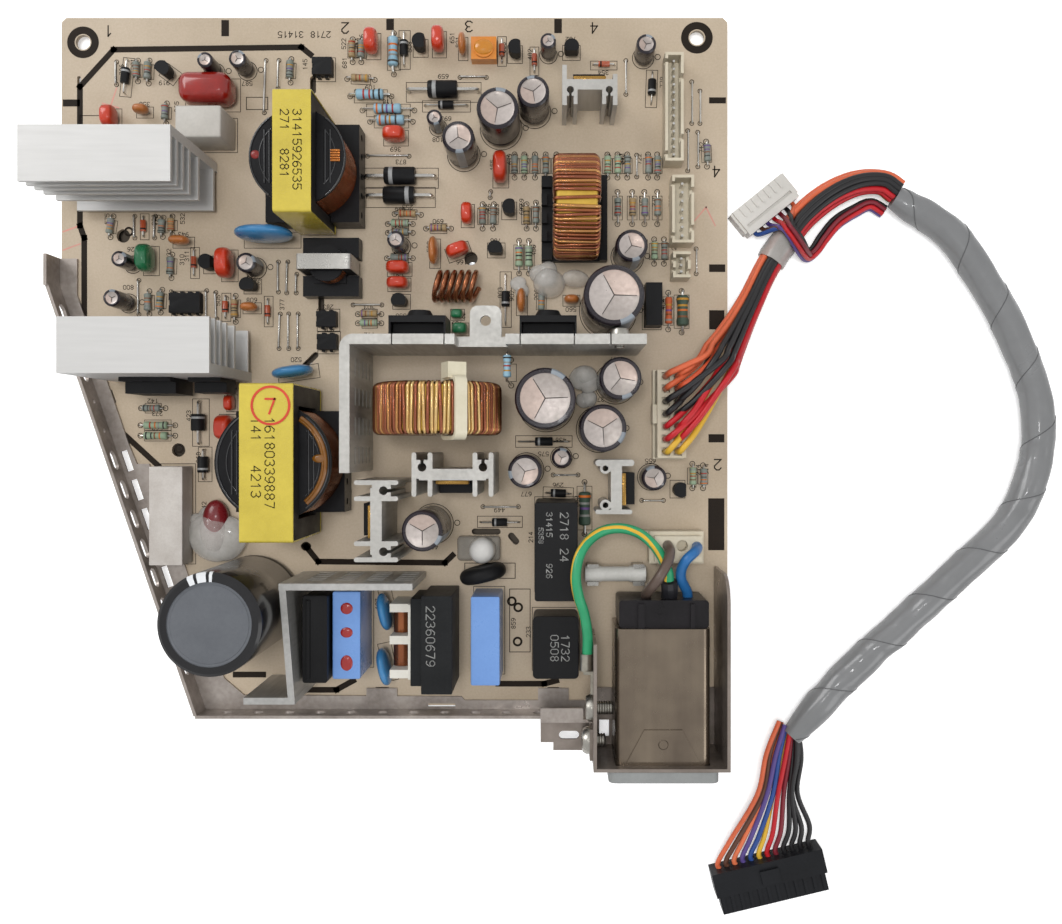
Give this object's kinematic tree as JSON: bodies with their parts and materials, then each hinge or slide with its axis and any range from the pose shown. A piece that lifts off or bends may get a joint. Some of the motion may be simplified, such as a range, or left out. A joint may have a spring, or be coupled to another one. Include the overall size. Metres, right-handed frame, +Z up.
{
  "type": "open frame power supply",
  "caption": "Open frame mains power supply: bare board with steel rail, inlet, heatsinks, transformers, wound rings, capacitors and a sleeved wire harness.",
  "frame": {"origin": "centre of the supply's own footprint (board, rail and inlet, without the loose harness) on the surface it stands on", "axes": "+Z up from the surface through the board, +Y from the mains inlet's front to the far board edge, +X towards the edge where the output harness leaves"},
  "size_m": [0.3255, 0.2918, 0.0501],
  "materials": {
    "circuit_board": "bare brown laminate with a printed plan",
    "solder_joints": "bright solder",
    "side_rail": "dull plated sheet steel",
    "inlet_bracket": "dull plated sheet steel",
    "fixing_ear": "yellow passivated steel",
    "metal_screws": "bright plated",
    "inlet_can": "satin plated",
    "inlet_socket": "pale grey moulding",
    "inlet_blades": "bright",
    "inlet_rear_cover": "black moulding",
    "earth_lug": "tinned",
    "earth_wire": "green with a pale stripe",
    "mains_wires": "brown and blue",
    "wire_sleeve": "black shrink tube",
    "fuse": "white ceramic with plated caps",
    "fuse_clips": "tinned spring metal",
    "thermistor": "matt black",
    "line_capacitors": "blue box",
    "line_box": "black box",
    "line_choke_core": "dark ferrite and black cover",
    "line_choke_bobbin": "white moulding",
    "line_choke_winding": "enamelled copper",
    "relays": "black case",
    "main_capacitor": "dark sleeve, grey top disc",
    "perforated_shield": "satin",
    "angle_heatsink": "satin",
    "fin_heatsinks": "bright extruded",
    "profile_heatsinks": "extruded",
    "small_heatsinks": "extruded",
    "power_devices": "black moulding",
    "device_clamps": "black moulding",
    "transformer_cores": "dark ferrite",
    "transformer_tapes": "yellow film tape",
    "transformer_bobbins": "black moulding",
    "transformer_windings": "enamelled copper under film",
    "toroid_cores": "yellow painted iron powder",
    "toroid_windings": "enamelled copper",
    "toroid_bases": "black moulding",
    "cable_tie": "pale nylon",
    "air_coil": "enamelled copper",
    "cement_resistor": "white cement case",
    "hot_melt": "translucent glue",
    "capacitor_cans": "satin can tops",
    "capacitor_sleeves": "dark shrink sleeve",
    "film_capacitors": "red and white cases",
    "dipped_capacitors": "dipped lacquer",
    "disc_capacitors": "blue and orange lacquer",
    "axial_parts": "lacquered, with colour bands",
    "wire_links": "tinned wire",
    "small_semiconductors": "black moulding",
    "trimmer": "blue box, lacquered rotor",
    "output_headers": "ivory nylon",
    "header_pins": "tinned",
    "harness_plug": "ivory nylon",
    "harness_wires": "plastic covered wires in several colours",
    "harness_sleeve": "grey plastic sleeve",
    "harness_branch": "thin wires in several colours",
    "harness_tail": "plastic covered wires in several colours",
    "white_connector": "white nylon",
    "black_connector": "black nylon"
  },
  "bodies": {
    "root": {"circuit_board": "circuit_board", "solder_joints": "solder_joints", "side_rail": "side_rail", "inlet_bracket": "inlet_bracket", "fixing_ear": "fixing_ear", "metal_screws": "metal_screws", "inlet_can": "inlet_can", "inlet_socket": "inlet_socket", "inlet_blades": "inlet_blades", "inlet_rear_cover": "inlet_rear_cover", "earth_lug": "earth_lug", "earth_wire": "earth_wire", "mains_wires": "mains_wires", "wire_sleeve": "wire_sleeve", "fuse": "fuse", "fuse_clips": "fuse_clips", "thermistor": "thermistor", "line_capacitors": "line_capacitors", "line_box": "line_box", "line_choke_core": "line_choke_core", "line_choke_bobbin": "line_choke_bobbin", "line_choke_winding": "line_choke_winding", "relays": "relays", "main_capacitor": "main_capacitor", "perforated_shield": "perforated_shield", "angle_heatsink": "angle_heatsink", "fin_heatsinks": "fin_heatsinks", "profile_heatsinks": "profile_heatsinks", "small_heatsinks": "small_heatsinks", "power_devices": "power_devices", "device_clamps": "device_clamps", "transformer_cores": "transformer_cores", "transformer_tapes": "transformer_tapes", "transformer_bobbins": "transformer_bobbins", "transformer_windings": "transformer_windings", "toroid_cores": "toroid_cores", "toroid_windings": "toroid_windings", "toroid_bases": "toroid_bases", "cable_tie": "cable_tie", "air_coil": "air_coil", "cement_resistor": "cement_resistor", "hot_melt": "hot_melt", "capacitor_cans": "capacitor_cans", "capacitor_sleeves": "capacitor_sleeves", "film_capacitors": "film_capacitors", "dipped_capacitors": "dipped_capacitors", "disc_capacitors": "disc_capacitors", "axial_parts": "axial_parts", "wire_links": "wire_links", "small_semiconductors": "small_semiconductors", "trimmer": "trimmer", "output_headers": "output_headers", "header_pins": "header_pins", "harness_plug": "harness_plug", "harness_wires": "harness_wires", "harness_sleeve": "harness_sleeve", "harness_branch": "harness_branch", "harness_tail": "harness_tail", "white_connector": "white_connector", "black_connector": "black_connector"}
  },
  "joints": []
}
